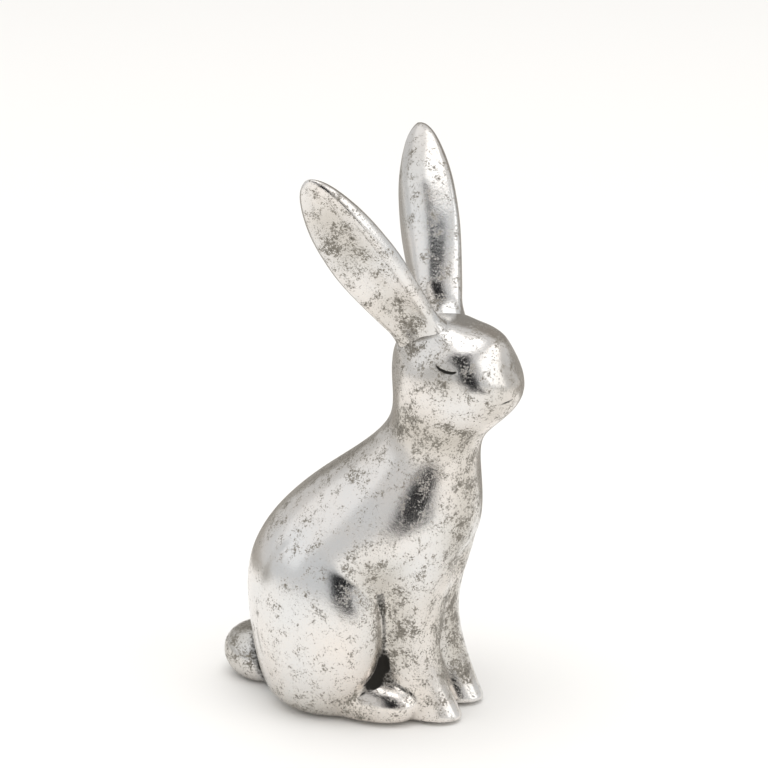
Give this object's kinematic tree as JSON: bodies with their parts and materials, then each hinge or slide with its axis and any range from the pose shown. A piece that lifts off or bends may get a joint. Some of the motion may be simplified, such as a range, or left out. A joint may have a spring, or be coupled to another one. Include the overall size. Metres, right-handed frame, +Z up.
{
  "type": "ceramic rabbit figurine",
  "caption": "Sitting rabbit ornament in hollow slip-cast ceramic with upright ears, closed eyes, a low round tail and felt pads; stands on furniture as decoration.",
  "frame": {"origin": "on the surface the rabbit stands on, under the middle of its outline", "axes": "+X towards the nose, +Y towards the rabbit's left side, +Z up"},
  "size_m": [0.1149, 0.087, 0.2014],
  "materials": {
    "leafed_ceramic": "antique silver leaf over the glaze, rubbed through in places, dark wash in the creases",
    "felt": "short-fibre felt, matt"
  },
  "bodies": {
    "root": {"body_casting": "leafed_ceramic", "ear_right": "leafed_ceramic", "ear_left": "leafed_ceramic", "tail": "leafed_ceramic", "foot_pad_front_right": "felt", "foot_pad_front_left": "felt", "foot_pad_rear_right": "felt", "foot_pad_rear_left": "felt"}
  },
  "joints": []
}
